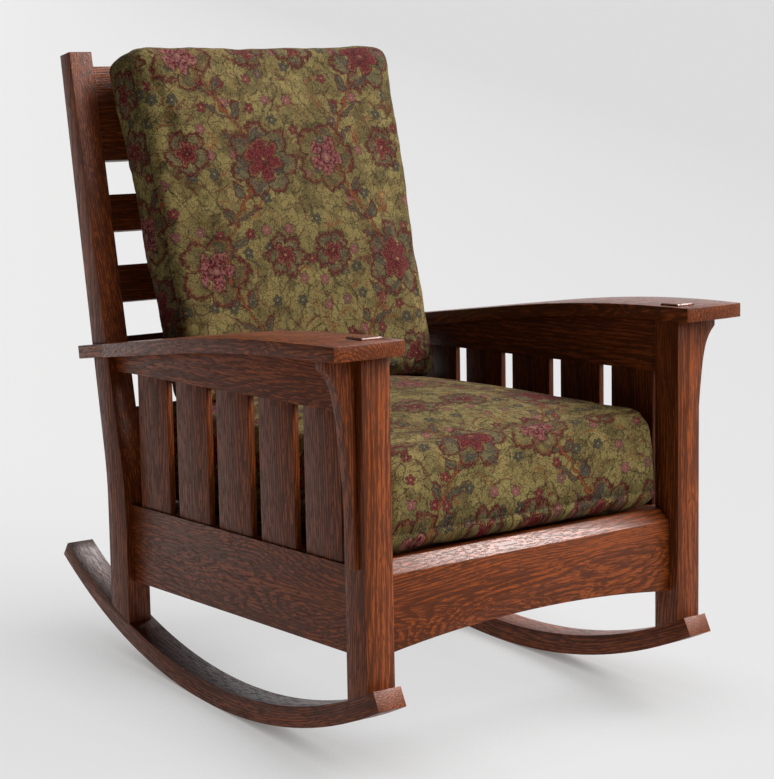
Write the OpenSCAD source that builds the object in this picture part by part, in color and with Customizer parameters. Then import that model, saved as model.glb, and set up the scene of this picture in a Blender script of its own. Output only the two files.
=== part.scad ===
// Rocking chair with bow arms, slatted sides and loose cushions.
// Lengths are in millimetres, +Z is up, the chair faces -Y.
// The chair is drawn upright on its own axes and then leaned back to the pose that it rests in.

/* [Overall] */
// Width over the front posts' outer faces
front_width = 615; // [595:1:640]
// Width over the rear posts' outer faces
rear_width = 583; // [565:1:590]
// Front posts' front face to rear posts' front face
side_depth = 608; // [590:1:640]
// Underside of the arms at the front posts, above the runners' lowest point
arm_height = 538; // [520:1:560]
// How far the empty chair leans back when it comes to rest, in degrees
rest_lean = 4.9; // [0:0.1:8]
// Clearance in joints that are glued or screwed
fit_gap = 0.15; // [0.1:0.05:0.3]

/* [Runners] */
// Radius of the curve that rolls on the floor
rocker_radius = 820; // [780:5:900]
// Centre of that curve, behind the front posts' front face
rocker_centre = 333; // [300:1:380]
// Thickness of a runner at its lowest point
runner_thickness = 30.5; // [26:0.5:36]
// How far the upper curve's centre lies above the lower one's, which thins the ends
runner_thinning = 34; // [20:1:45]
// Width of a runner
runner_width = 44.5; // [40:0.5:50]
// How far the floor curve reaches in front of the front posts' front face
nose_reach = 24; // [10:0.5:40]
// How far the floor curve reaches behind the rear posts' front face
tail_reach = 201; // [150:1:240]

/* [Posts] */
// Side of the square front posts
post_size = 44.5; // [42:0.5:50]
// Width of the rear posts
rear_post_width = 37.5; // [34:0.5:42]
// Depth of the rear posts' lower part
rear_post_depth = 52; // [48:0.5:58]
// Depth of the rear posts at the top
rear_post_top_depth = 29.5; // [26:0.5:36]
// Height at which the rear posts' front face bends back
bend_height = 281; // [270:1:300]
// Rake of the back, in degrees
back_rake = 10.4; // [8:0.1:13]
// Length of the rear posts above the bend, along the rake
back_length = 667; // [620:1:700]
// Radius that eases the bend
bend_ease = 480; // [300:10:500]

/* [Arms] */
// Thickness of an arm
arm_thickness = 20; // [18:0.5:24]
// How far the arms reach in front of the front posts
arm_front_reach = 27.6; // [15:0.2:40]
// Where the arm starts to bend down, behind the front posts' front face
arm_bend_start = 20; // [0:1:40]
// Radius of the arm's bend, on its top face
arm_bend_radius = 2700; // [2400:10:3000]
// Slope of the arm behind the bend, in degrees
arm_slope = 6.9; // [5.5:0.1:8]
// Greatest overhang of the arm outside the front post's outer face
arm_overhang = 74; // [60:0.5:90]
// Where that overhang lies, behind the front posts' front face
arm_widest = 190; // [150:1:240]
// Radius of the arm's outer edge in plan
arm_edge_radius = 1695; // [1500:5:2000]
// Radius of the arm's rounded front end in plan
arm_nose_radius = 600; // [400:10:900]
// Overhang of the arm's inner edge past the front post's inner face, at the front
arm_inner_front = 7.5; // [5:0.5:12]
// Overhang of the arm's inner edge past the same line, at the rear
arm_inner_rear = 1.5; // [0.5:0.5:6]
// Length of the arm's tail behind the rear post's front face, at bend height
arm_tail_length = 118; // [112:1:135]
// Width of the arm's tail beside the rear post
arm_tail_width = 15; // [12:0.5:20]
// How far that tail stands out of the rear post's outer face
arm_tail_reach = 6; // [3:0.5:9]
// How far behind the rear post's front face, at bend height, the arm narrows to its tail
arm_shoulder = 32; // [25:1:36]
// How far the front post's tenon stands above the arm
tenon_proud = 3; // [1:0.5:6]

/* [Corbels] */
// Thickness of a corbel
corbel_thickness = 20; // [16:0.5:26]
// Projection of a corbel under the arm
corbel_reach = 48; // [36:1:56]
// Projection of a corbel at its lower end
corbel_foot = 7; // [4:0.5:12]
// Length of a corbel
corbel_length = 276; // [230:2:330]
// Upright nose at a corbel's top
corbel_nose = 14; // [6:1:24]

/* [Sides] */
// Underside of the side rails and of the front rail's ends
rail_bottom = 142; // [130:1:155]
// Height of a lower side rail
lower_rail_height = 117.5; // [105:0.5:130]
// Height of an upper side rail at its front end
upper_rail_height = 78; // [74:1:95]
// Thickness of the side rails
side_rail_thickness = 19.5; // [18:0.5:24]
// Side rails' outer face, inside the posts' outer face
side_rail_inset = 11.2; // [8:0.2:14]
// Number of slats on each side
side_slat_count = 5; // [5:1:5]
// Gap between two side slats
side_slat_gap = 24.8; // [16:0.1:36]
// Thickness of a side slat
side_slat_thickness = 10; // [8:0.5:12]
// Side slats' outer face, inside the rails' outer face
side_slat_inset = 3; // [2:0.5:6]
// How deep the slats' ends sit in the rails
slat_stub = 9; // [6:0.5:12]

/* [Front rail] */
// Front rail's front face, behind the front posts' front face
front_rail_setback = 13.7; // [8:0.1:18]
// Height of the front rail at its ends
front_rail_height = 122; // [110:1:135]
// Leg of the front rail's chamfer
front_rail_chamfer = 17; // [10:0.5:22]
// Rise of the front rail's arched underside
front_rail_arch = 18; // [10:0.5:26]

/* [Back] */
// Height of the back's top rail
top_rail_height = 144.5; // [130:0.5:160]
// Post above the top rail
top_rail_drop = 21.3; // [15:0.5:30]
// Height of a back slat
back_slat_height = 56; // [50:0.5:60]
// Gap between the back's slats
back_slat_gap = 52; // [46:0.5:54]
// Thickness of the back's rail and slats
back_slat_thickness = 20; // [16:0.5:22]
// Back slats' front face, behind the rear posts' front face
back_slat_inset = 4; // [2:0.5:6]

/* [Seat support] */
// Thickness of a seat slat
seat_slat_thickness = 20; // [16:0.5:24]
// Gap between two seat slats
seat_slat_gap = 9.5; // [4:0.5:20]
// Height of the side cleats
cleat_height = 34; // [28:1:44]
// Thickness of the side cleats
cleat_thickness = 20; // [16:0.5:26]
// Depth of the front cleat
front_cleat_depth = 34; // [28:1:40]
// Height of the front cleat
front_cleat_height = 62; // [40:1:70]
// Leg of the corner blocks
corner_block_leg = 82; // [60:1:90]
// Height of the corner blocks
corner_block_height = 70; // [50:1:76]
// Height of the rear seat rail
rear_rail_height = 60; // [45:1:80]
// Thickness of the rear seat rail
rear_rail_thickness = 18; // [16:0.5:24]

/* [Cushions] */
// Clearance between the seat cushion and the front posts' inner faces
seat_side_gap = 10.5; // [8:0.5:28]
// Front of the seat cushion, behind the front posts' front face
seat_front = 24; // [16:1:32]
// How far the seat cushion reaches behind the rear posts' front face
seat_rear_reach = 12; // [-8:1:15]
// Seat cushion's height at its top edge
seat_edge_height = 143; // [120:1:155]
// How much the middle of the seat cushion stands above that edge
seat_crown = 30; // [16:1:44]
// Clearance between the back cushion and the rear posts' inner faces
back_side_gap = 11.5; // [8:0.5:34]
// Height of the back cushion along its lean
back_cushion_height = 545; // [510:1:560]
// Thickness of the back cushion at its edges
back_edge_thickness = 98; // [80:1:104]
// How much each face of the back cushion swells in the middle
back_crown = 16; // [8:1:24]
// Lean of the back cushion, in degrees
back_cushion_lean = 15; // [13:0.1:16]
// Wall of the padded shell round each cushion's soft core
cushion_wall = 6; // [5:0.5:9]
// Clearance between a cushion and what it rests on
rest_gap = 0.4; // [0.3:0.1:0.6]

/* [Hidden] */

oak = [0.33, 0.16, 0.09];
cloth = [0.45, 0.43, 0.28];
steel = [0.62, 0.62, 0.64];

// Cuts run past the faces that they cut by this much
overrun = 5;
// Sides of a whole circle, for large curves and for small ones
large_sides = 720;
small_sides = 48;

// Side frames: each is drawn square to its own outer face, with X pointing out, and turned in plan
rear_post_middle = side_depth + rear_post_depth / 2;
side_turn = atan((front_width - rear_width) / 2 / rear_post_middle);

// Inner half width between the side frames at a depth y, inside a post of a width w
function inner_half(y, w) = front_width / 2 - y * tan(side_turn) - w / cos(side_turn);

// Runners
nose_angle = asin((rocker_centre + nose_reach) / rocker_radius);
tail_angle = asin((side_depth + tail_reach - rocker_centre) / rocker_radius);
upper_radius = rocker_radius + runner_thinning - runner_thickness;
upper_height = rocker_radius + runner_thinning;
sector_reach = 2 * rocker_radius;

// Rear posts: the front and back outlines, with eased bends
rear_post_back = side_depth + rear_post_depth;
front_top = [side_depth + back_length * sin(back_rake), bend_height + back_length * cos(back_rake)];
back_top = [front_top[0] + rear_post_top_depth * cos(back_rake),
            front_top[1] - rear_post_top_depth * sin(back_rake)];
back_bend_drop_share = 0.025;
back_bend_height = bend_height + back_bend_drop_share * back_length;
rear_rake = atan((back_top[0] - rear_post_back) / (back_top[1] - back_bend_height));
ease_steps = 10;

// Depth of the rear posts' front face at a height z above the bend
function post_face(z) = side_depth + (z - bend_height) * tan(back_rake);

// Arms
arm_top = arm_height + arm_thickness;
bend_end = arm_bend_start + arm_bend_radius * sin(arm_slope);
bend_end_top = arm_top - arm_bend_radius * (1 - cos(arm_slope));
arm_tail_end = side_depth + arm_tail_length;
arm_run = (arm_tail_end - bend_end) / cos(arm_slope);
arm_nose_middle = (arm_overhang - post_size - arm_inner_front) / 2;
arm_edge_start = -arm_front_reach - overrun;
arm_edge_steps = 28;
arm_shoulder_place = side_depth + arm_shoulder;

// Overhang of the arm's outer edge at a depth y
function arm_edge(y) = arm_overhang - arm_edge_radius
    + sqrt(arm_edge_radius * arm_edge_radius - pow(y - arm_widest, 2));

// Front post's tenon through the arm
tenon_side_share = 0.12;
tenon_side = tenon_side_share * post_size;
tenon_bevel = tenon_proud / 2;

// Corbels: the inner part of the curve grows slowly, the outer part fast
corbel_place = (post_size - corbel_thickness) / 2;
corbel_bottom = arm_height - corbel_length;
corbel_run = corbel_length - corbel_nose;
corbel_slow_share = 0.55;
corbel_slow_power = 1.9;
corbel_fast_power = 16;
corbel_steps = 36;
function corbel_share(t) = corbel_slow_share * pow(t, corbel_slow_power)
    + (1 - corbel_slow_share) * pow(t, corbel_fast_power);

// Side rails and slats, measured inwards from the side frame's outer face
rail_outer = side_rail_inset;
rail_inner = side_rail_inset + side_rail_thickness;
upper_rail_bottom = arm_height - upper_rail_height;
side_tenon_length = 20;
side_tenon_thickness_share = 0.5;
side_tenon_thickness = side_tenon_thickness_share * side_rail_thickness;
side_tenon_shoulder = 12;
upper_tenon_shoulder = 8;
upper_tenon_height = 42;
upper_rear_tenon_height = 13;
upper_rear_tenon_shoulder = 4;
lower_rail_top = rail_bottom + lower_rail_height;
slat_outer = rail_outer + side_slat_inset;
slat_pitch = (side_depth - post_size - side_slat_gap) / side_slat_count;
side_slat_width = slat_pitch - side_slat_gap;

// Front rail: its back face is flush with the front posts' back faces
front_rail_top = rail_bottom + front_rail_height;
front_inner = inner_half(front_rail_setback, post_size);
arch_radius = (front_inner * front_inner + front_rail_arch * front_rail_arch) / 2 / front_rail_arch;
tenon_wall = 2.5;
side_tenon_inner = rail_outer + (side_rail_thickness + side_tenon_thickness) / 2;
front_tenon_length = post_size - side_tenon_inner - tenon_wall;
front_tenon_thickness = 10;
front_tenon_shoulder = 10;

// Back: places along the rake, from the bend up
top_rail_place = back_length - top_rail_drop - top_rail_height;
back_tenon_length = rear_post_width - side_tenon_inner - tenon_wall;
back_tenon_thickness = 10;
back_tenon_shoulder = 6;
back_pitch = back_slat_height + back_slat_gap;
back_slat_count = 4;

// Seat support
deck_top = lower_rail_top;
cleat_top = deck_top - seat_slat_thickness;
rear_rail_place = side_depth + fit_gap;
rear_rail_top = cleat_top + seat_slat_thickness;
rear_tenon_length = back_tenon_length;
rear_tenon_thickness = 9;
rear_tenon_shoulder = 8;
seat_slat_count = 7;
seat_slat_first = post_size + rest_gap;
deck_rear = side_depth * cos(side_turn) - post_size * sin(side_turn) - rest_gap;
seat_slat_pitch = (deck_rear - seat_slat_first + seat_slat_gap) / seat_slat_count;
seat_slat_width = seat_slat_pitch - seat_slat_gap;

// Screws
screw_radius = 2.5;
screw_head_radius = 4.8;
screw_head_depth = 2.6;
screw_gap = 0.3;
cleat_screw_reach = 12;
cleat_screw_count = 3;
slat_screw_reach = 20;
runner_screw_radius = 4;
runner_screw_head_radius = 7.5;
runner_screw_head_depth = 5;
runner_screw_sink = 6;
runner_screw_reach = 62;

// Cushions
seat_corner_radius = 18;
back_corner_radius = 26;
least_corner_radius = 11.5;
corner_points = 5;
side_points = 4;
crown_power = 2.4;
dome_share = [0.93, 0.81, 0.63, 0.41, 0.18];
underside_share = [0.5, 0.85];
seat_half_width = front_width / 2 - post_size - seat_side_gap;
seat_rear = side_depth + seat_rear_reach;
seat_centre = (seat_front + seat_rear) / 2;
seat_half_depth = (seat_rear - seat_front) / 2;
seat_bottom = deck_top + rest_gap;
// Room beside the seat cushion's back edge, between the rear posts
seat_rear_side_gap = 8.5;
seat_rear_half_width = rear_width / 2 - rear_post_width - seat_rear_side_gap;
seat_narrowing = 1 - seat_rear_half_width / seat_half_width;
seat_drawn_in = 5;
// Seat cushion's sides from the bottom up: inset and height, as shares of the edge's height
seat_profile_share = [[0.34, 0], [0.19, 0.045], [0.085, 0.1], [0.025, 0.155], [0, 0.21], [0, 0.45],
                      [0.008, 0.68], [0.04, 0.87], [0.1, 1]];
back_half_width = rear_width / 2 - rear_post_width - back_side_gap;
// Back cushion's lower edge: in front of the rear posts' front face, above the seat cushion's edge
back_foot_reach = 80;
back_foot_lift = 6;
back_foot_place = side_depth - back_foot_reach;
back_foot_height = seat_bottom + seat_edge_height + back_foot_lift;
// Room under the back cushion for the flat faces of both cushions
back_foot_gap = 1.5;
back_drawn_in = 4;
back_rear_crown = 38;
// Back cushion: less wide and less thick towards its lower edge
back_foot_width_share = 0.955;
back_foot_thickness_share = 0.76;
// Back cushion's sides from the back face to the front: inset and place, as shares of the thickness
back_profile_share = [[0.13, -0.5], [0.04, -0.42], [0, -0.2], [0, 0.2], [0.04, 0.42], [0.13, 0.5]];

// Unit outline of a cushion: side signs, then the direction that the corner radius points in
corner_signs = [[1, 1], [-1, 1], [-1, -1], [1, -1]];
quarter = 90;
unit_outline = [
    for (q = [0 : 3]) each concat(
        [for (k = [0 : corner_points - 1])
            let (a = quarter * (q + k / (corner_points - 1)))
            [corner_signs[q][0], corner_signs[q][1], cos(a), sin(a)]],
        [for (k = [1 : side_points])
            let (t = k / (side_points + 1), a = quarter * (q + 1), next = corner_signs[(q + 1) % 4])
            [corner_signs[q][0] * (1 - t) + next[0] * t, corner_signs[q][1] * (1 - t) + next[1] * t,
             cos(a), sin(a)]])];
outline_count = len(unit_outline);

// A point of a cushion's outline, with its sides drawn in between the corners
function outline_point(u, half_x, half_y, radius, drawn, f) =
    let (x = u[0] * (half_x - radius) + radius * u[2],
         y = u[1] * (half_y - radius) + radius * u[3],
         p = x / half_x,
         q = y / half_y)
    [f * x * (1 - drawn / half_x * (1 - q * q)), f * y * (1 - drawn / half_y * (1 - p * p))];

// How far a crowned face rises at a point, as a share of its crown
function crown_share(x, y, half_x, half_y) =
    (1 - pow(min(abs(x) / half_x, 1), crown_power)) * (1 - pow(min(abs(y) / half_y, 1), crown_power));

// Faces of rings of points between two end points, all triangles
function ring_faces(rings) = concat(
    [for (i = [0 : outline_count - 1]) [0, 1 + i, 1 + (i + 1) % outline_count]],
    [for (k = [0 : rings - 2], i = [0 : outline_count - 1])
        let (a = 1 + k * outline_count + i, b = 1 + k * outline_count + (i + 1) % outline_count)
        [a, a + outline_count, b + outline_count]],
    [for (k = [0 : rings - 2], i = [0 : outline_count - 1])
        let (a = 1 + k * outline_count + i, b = 1 + k * outline_count + (i + 1) % outline_count)
        [a, b + outline_count, b]],
    [for (i = [0 : outline_count - 1])
        let (a = 1 + (rings - 1) * outline_count)
        [1 + rings * outline_count, a + (i + 1) % outline_count, a + i]]);

// Seat cushion: its surface, or that of its core when wall is the shell's thickness
seat_last_inset = seat_profile_share[len(seat_profile_share) - 1][0] * seat_edge_height;
seat_dome_half_x = seat_half_width - seat_last_inset;
seat_dome_half_y = seat_half_depth - seat_last_inset;

function seat_top(x, y) = seat_bottom + seat_edge_height
    + seat_crown * crown_share(x, y - seat_centre, seat_dome_half_x, seat_dome_half_y);

function seat_point(u, inset, f) =
    let (p = outline_point(u, seat_half_width - inset, seat_half_depth - inset,
                           max(seat_corner_radius - inset, least_corner_radius), seat_drawn_in, f),
         narrow = 1 - seat_narrowing * (p[1] + seat_half_depth) / (seat_rear - seat_front))
    [p[0] * narrow, seat_centre + p[1]];

function seat_points(wall) = concat(
    [[0, seat_centre, seat_bottom + wall]],
    [for (f = underside_share, u = unit_outline)
        let (p = seat_point(u, wall + seat_profile_share[0][0] * seat_edge_height, f))
        [p[0], p[1], seat_bottom + wall]],
    [for (s = seat_profile_share, u = unit_outline)
        let (p = seat_point(u, wall + s[0] * seat_edge_height, 1))
        [p[0], p[1], seat_bottom + wall + s[1] * (seat_edge_height - 2 * wall)]],
    [for (f = dome_share, u = unit_outline)
        let (p = seat_point(u, wall + seat_last_inset, f))
        [p[0], p[1], seat_top(p[0], p[1]) - wall]],
    [[0, seat_centre, seat_top(0, seat_centre) - wall]]);
seat_rings = len(underside_share) + len(seat_profile_share) + len(dome_share);

// Back cushion, in its own plane: X across, then up its height, then out of its front face
back_half_height = back_cushion_height / 2;

function back_place(x, h, d, wall) =
    let (y = back_foot_place + h * sin(back_cushion_lean) - d * cos(back_cushion_lean),
         z = back_foot_height + h * cos(back_cushion_lean) + d * sin(back_cushion_lean),
         rest = post_face(z) + back_slat_inset / cos(back_rake) - rest_gap - wall)
    [x, min(y, rest), max(z, seat_top(x, y) + back_foot_gap + wall)];

function back_point(u, inset, f, share, crown, wall) =
    let (p = outline_point(u, back_half_width - inset, back_half_height - inset,
                           max(back_corner_radius - inset, least_corner_radius), back_drawn_in, f),
         up = (p[1] + back_half_height) / back_cushion_height,
         width = back_foot_width_share + (1 - back_foot_width_share) * up,
         thick = back_edge_thickness * (back_foot_thickness_share + (1 - back_foot_thickness_share) * up),
         swell = crown * crown_share(p[0], p[1], back_half_width - inset, back_half_height - inset))
    back_place(p[0] * width, p[1] + back_half_height, share * (thick - 2 * wall) + swell, wall);

function back_points(wall) =
    let (inset = wall + back_profile_share[0][0] * back_edge_thickness)
    concat(
        [back_point([0, 0, 0, 0], inset, 1, -0.5, -back_rear_crown, wall)],
        [for (k = [len(dome_share) - 1 : -1 : 0], u = unit_outline)
            back_point(u, inset, dome_share[k], -0.5, -back_rear_crown, wall)],
        [for (s = back_profile_share, u = unit_outline)
            back_point(u, wall + s[0] * back_edge_thickness, 1, s[1], 0, wall)],
        [for (f = dome_share, u = unit_outline)
            back_point(u, inset, f, 0.5, back_crown, wall)],
        [back_point([0, 0, 0, 0], inset, 1, 0.5, back_crown, wall)]);
back_rings = len(back_profile_share) + 2 * len(dome_share);

// Where the chair stands: its lowest line on the floor and its middle over the origin
lean_rise = rocker_radius - rocker_radius * cos(rest_lean) + rocker_centre * sin(rest_lean);
nose_low = [rocker_centre - rocker_radius * sin(nose_angle), rocker_radius - rocker_radius * cos(nose_angle)];
tail_low = [rocker_centre + rocker_radius * sin(tail_angle), rocker_radius - rocker_radius * cos(tail_angle)];
function leaned(y, z) = y * cos(rest_lean) + z * sin(rest_lean);
front_end = min(leaned(nose_low[0] * cos(side_turn) - runner_width * sin(side_turn), nose_low[1]),
                leaned(-arm_front_reach, arm_height));
rear_end = max(leaned(tail_low[0] * cos(side_turn), tail_low[1]),
               leaned(back_top[0] * cos(side_turn), back_top[1]));
lean_shift = -(front_end + rear_end) / 2;

module placed() {
    translate([0, lean_shift, lean_rise])
    rotate([-rest_lean, 0, 0])
    children();
}

// A child drawn for the right side frame, on the right (side 1) or the left (side -1)
module in_side(side) {
    if (side > 0)
        translate([front_width / 2, 0, 0]) rotate([0, 0, side_turn]) children();
    else
        mirror([1, 0, 0]) translate([front_width / 2, 0, 0]) rotate([0, 0, side_turn]) children();
}

// A child profile of depth and height, from x0 to x1
module upright(x0, x1) {
    translate([x0, 0, 0])
    rotate([90, 0, 90])
    linear_extrude(x1 - x0)
    children();
}

// A child profile of width and height, from y0 to y1
module across(y0, y1) {
    translate([0, y1, 0])
    rotate([90, 0, 0])
    linear_extrude(y1 - y0)
    children();
}

// A box given by its two ends on each axis
module box(x, y, z) {
    translate([x[0], y[0], z[0]])
    cube([x[1] - x[0], y[1] - y[0], z[1] - z[0]]);
}

// The space between the side frames, inside posts of a width w
module between(w, y0, y1, z0, z1) {
    translate([0, 0, z0])
    linear_extrude(z1 - z0)
    polygon([[-inner_half(y0, w) + fit_gap, y0], [inner_half(y0, w) - fit_gap, y0],
             [inner_half(y1, w) - fit_gap, y1], [-inner_half(y1, w) + fit_gap, y1]]);
}

// Both end tenons of a rail across the chair, grown by g for their mortises
module end_tenons(y, z, w, length, g) {
    reach = inner_half((y[0] + y[1]) / 2, w) + length + g;
    root = 2 * length;
    box([reach - root, reach], [y[0] - g, y[1] + g], [z[0] - g, z[1] + g]);
    box([-reach, root - reach], [y[0] - g, y[1] + g], [z[0] - g, z[1] + g]);
}

// Profile of an arm, thicker by g on every side for what it passes through
module arm_profile(g) {
    translate([-arm_front_reach - g, arm_height - g])
    square([arm_bend_start + arm_front_reach + g, arm_thickness + 2 * g]);
    translate([arm_bend_start, arm_top - arm_bend_radius])
    intersection() {
        difference() {
            circle(r = arm_bend_radius + g, $fn = large_sides);
            circle(r = arm_bend_radius - arm_thickness - g, $fn = large_sides);
        }
        polygon([[0, 0], [0, 2 * arm_bend_radius],
                 [2 * arm_bend_radius * sin(arm_slope), 2 * arm_bend_radius * cos(arm_slope)]]);
    }
    translate([bend_end, bend_end_top])
    rotate(-arm_slope)
    translate([0, -arm_thickness - g])
    square([arm_run + g, arm_thickness + 2 * g]);
}

// Everything under an arm, down to the runners' lowest point, less fit_gap
module under_arm() {
    low = arm_bend_radius - arm_thickness - fit_gap;
    end = [arm_bend_start + low * sin(arm_slope), arm_top - arm_bend_radius + low * cos(arm_slope)];
    square([arm_bend_start, arm_height - fit_gap]);
    intersection() {
        translate([arm_bend_start, arm_top - arm_bend_radius])
        circle(r = low, $fn = large_sides);
        translate([arm_bend_start, 0])
        square([low * sin(arm_slope), arm_height]);
    }
    polygon([[end[0], 0], end, [end[0] + arm_run * cos(arm_slope), end[1] - arm_run * sin(arm_slope)],
             [end[0] + arm_run * cos(arm_slope), 0]]);
}

// The space above the runners' top faces
module over_runner() {
    translate([rocker_centre, upper_height])
    circle(r = upper_radius - fit_gap, $fn = large_sides);
}

// Rear post's outline, with the bends eased
module rear_outline() {
    polygon(concat(
        [[side_depth, 0]],
        [for (k = [0 : ease_steps])
            let (a = back_rake * k / ease_steps)
            [side_depth + bend_ease * (1 - cos(a)),
             bend_height + bend_ease * (sin(a) - tan(back_rake / 2))]],
        [front_top, back_top],
        [for (k = [ease_steps : -1 : 0])
            let (a = rear_rake * k / ease_steps)
            [rear_post_back + bend_ease * (1 - cos(a)),
             back_bend_height + bend_ease * (sin(a) - tan(rear_rake / 2))]],
        [[rear_post_back, 0]]));
}

// Tenons of the side rails, grown by g for their mortises
side_tenon_x = [-side_tenon_inner, side_tenon_thickness - side_tenon_inner];
upper_rear_tenon_end = post_face(upper_rail_bottom) + side_tenon_length - tenon_wall;

module lower_tenon(g) {
    box([side_tenon_x[0] - g, side_tenon_x[1] + g],
        [post_size - side_tenon_length - g, side_depth + side_tenon_length + g],
        [rail_bottom + side_tenon_shoulder - g, lower_rail_top - side_tenon_shoulder + g]);
}

module upper_tenons(g) {
    box([side_tenon_x[0] - g, side_tenon_x[1] + g],
        [post_size - side_tenon_length - g, post_size + side_tenon_length],
        [upper_rail_bottom + upper_tenon_shoulder - g,
         upper_rail_bottom + upper_tenon_shoulder + upper_tenon_height + g]);
    box([side_tenon_x[0] - g, side_tenon_x[1] + g],
        [side_depth, upper_rear_tenon_end + g],
        [upper_rail_bottom + upper_rear_tenon_shoulder - g,
         upper_rail_bottom + upper_rear_tenon_shoulder + upper_rear_tenon_height + g]);
}

module front_rail_tenons(g) {
    middle = (front_rail_setback + post_size) / 2;
    end_tenons([middle - front_tenon_thickness / 2, middle + front_tenon_thickness / 2],
               [rail_bottom + front_tenon_shoulder,
                front_rail_top - front_rail_chamfer - front_tenon_shoulder],
               post_size, front_tenon_length, g);
}

// Front post's tenon through the arm, grown by g for its mortise
module post_tenon(g) {
    low = [tenon_side - g, arm_height - tenon_side];
    high = [post_size - tenon_side + g, arm_top + tenon_proud + g];
    bevel = tenon_bevel;
    intersection() {
        upright(-high[0], -low[0])
        polygon([low, [high[0], low[1]], [high[0], high[1] - bevel], [high[0] - bevel, high[1]],
                 [low[0] + bevel, high[1]], [low[0], high[1] - bevel]]);
        across(low[0], high[0])
        polygon([[-high[0], low[1]], [-low[0], low[1]], [-low[0], high[1] - bevel],
                 [-low[0] - bevel, high[1]], [bevel - high[0], high[1]], [-high[0], high[1] - bevel]]);
    }
}

// Runner screws: place in the side frame and height of the floor curve there
front_screw = [-post_size / 2, post_size / 2];
rear_screw = [-rear_post_width / 2, side_depth + rear_post_depth / 2];
function curve_height(y) = rocker_radius - sqrt(rocker_radius * rocker_radius - pow(y - rocker_centre, 2));

module runner_screw(place) {
    translate([place[0], place[1], curve_height(place[1]) + runner_screw_sink])
    union() {
        cylinder(r = runner_screw_head_radius, h = runner_screw_head_depth, $fn = small_sides);
        cylinder(r = runner_screw_radius, h = runner_screw_head_depth + runner_screw_reach,
                 $fn = small_sides);
    }
}

module runner_screw_hole(place) {
    head_top = curve_height(place[1]) + runner_screw_sink + runner_screw_head_depth + screw_gap;
    translate([place[0], place[1], 0])
    cylinder(r = runner_screw_head_radius + screw_gap, h = head_top, $fn = small_sides);
    translate([place[0], place[1], 0])
    cylinder(r = runner_screw_radius + screw_gap, h = head_top + runner_screw_reach, $fn = small_sides);
}

// A countersunk screw along -Z with its head's face at zero, grown by g for its hole
module wood_screw(length, g) {
    translate([0, 0, -screw_head_depth - g])
    cylinder(r1 = screw_radius + g, r2 = screw_head_radius + g, h = screw_head_depth + g,
             $fn = small_sides);
    translate([0, 0, -length - g])
    cylinder(r = screw_radius + g, h = length, $fn = small_sides);
}

// Screws that hold a side cleat, in the side frame: under every second gap between the seat slats
cleat_inner = rail_inner + cleat_thickness;
cleat_low = cleat_top - cleat_height;
module cleat_screws_side(g) {
    for (i = [1 : cleat_screw_count])
        translate([-cleat_inner, seat_slat_first + 2 * i * seat_slat_pitch - seat_slat_gap / 2,
                   cleat_low + cleat_height / 2])
        rotate([0, -90, 0])
        wood_screw(cleat_thickness + cleat_screw_reach, g);
}

// Screws that hold the seat slats, on one side
module slat_screws_side(g) {
    for (i = [1 : seat_slat_count])
        translate([-rail_inner - cleat_thickness / 2,
                   seat_slat_first + seat_slat_width / 2 + (i - 1) * seat_slat_pitch, deck_top])
        wood_screw(seat_slat_thickness + slat_screw_reach, g);
}

module front_post(side) {
    color(oak) placed()
    difference() {
        in_side(side)
        difference() {
            union() {
                upright(-post_size, 0)
                intersection() {
                    square([post_size, arm_height]);
                    under_arm();
                    over_runner();
                }
                post_tenon(0);
            }
            lower_tenon(fit_gap);
            upper_tenons(fit_gap);
            runner_screw_hole(front_screw);
        }
        front_rail_tenons(fit_gap);
    }
}

module rear_post(side) {
    color(oak) placed()
    difference() {
        in_side(side)
        difference() {
            upright(-rear_post_width, 0)
            intersection() {
                rear_outline();
                over_runner();
            }
            lower_tenon(fit_gap);
            upper_tenons(fit_gap);
            upright(arm_tail_reach - arm_tail_width - fit_gap, overrun)
            arm_profile(fit_gap);
            runner_screw_hole(rear_screw);
        }
        rear_rail_tenons(fit_gap);
        top_rail_tenons(fit_gap);
        for (i = [1 : back_slat_count]) back_slat_tenons(i, fit_gap);
    }
}

module runner(side) {
    centre = [rocker_centre, rocker_radius];
    color(oak) placed() in_side(side)
    difference() {
        upright(-runner_width, 0)
        intersection() {
            difference() {
                translate(centre) circle(r = rocker_radius, $fn = large_sides);
                translate([rocker_centre, upper_height]) circle(r = upper_radius, $fn = large_sides);
            }
            polygon([centre, centre + sector_reach * [-sin(nose_angle), -cos(nose_angle)],
                     centre + sector_reach * [sin(tail_angle), -cos(tail_angle)]]);
        }
        runner_screw_hole(front_screw);
        runner_screw_hole(rear_screw);
    }
}

module arm(side) {
    color(oak) placed() in_side(side)
    difference() {
        intersection() {
            upright(-2 * post_size, 2 * arm_overhang)
            arm_profile(0);
            translate([arm_nose_middle, arm_nose_radius - arm_front_reach, 0])
            cylinder(r = arm_nose_radius, h = 2 * arm_height, $fn = large_sides);
            linear_extrude(2 * arm_height)
            polygon(concat(
                [[-post_size - arm_inner_front, arm_edge_start]],
                [for (k = [0 : arm_edge_steps])
                    let (y = arm_edge_start + (arm_shoulder_place - arm_edge_start) * k / arm_edge_steps)
                    [arm_edge(y), y]],
                [[arm_tail_reach, arm_shoulder_place], [arm_tail_reach, arm_tail_end],
                 [-post_size - arm_inner_rear, arm_tail_end]]));
        }
        post_tenon(fit_gap);
        // The notch round the rear post
        upright(-2 * post_size, arm_tail_reach - arm_tail_width)
        polygon([[post_face(bend_height) - fit_gap / cos(back_rake), bend_height],
                 [post_face(arm_top) - fit_gap / cos(back_rake), arm_top],
                 [arm_tail_end + rear_post_depth, arm_top],
                 [arm_tail_end + rear_post_depth, bend_height]]);
    }
}

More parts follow.
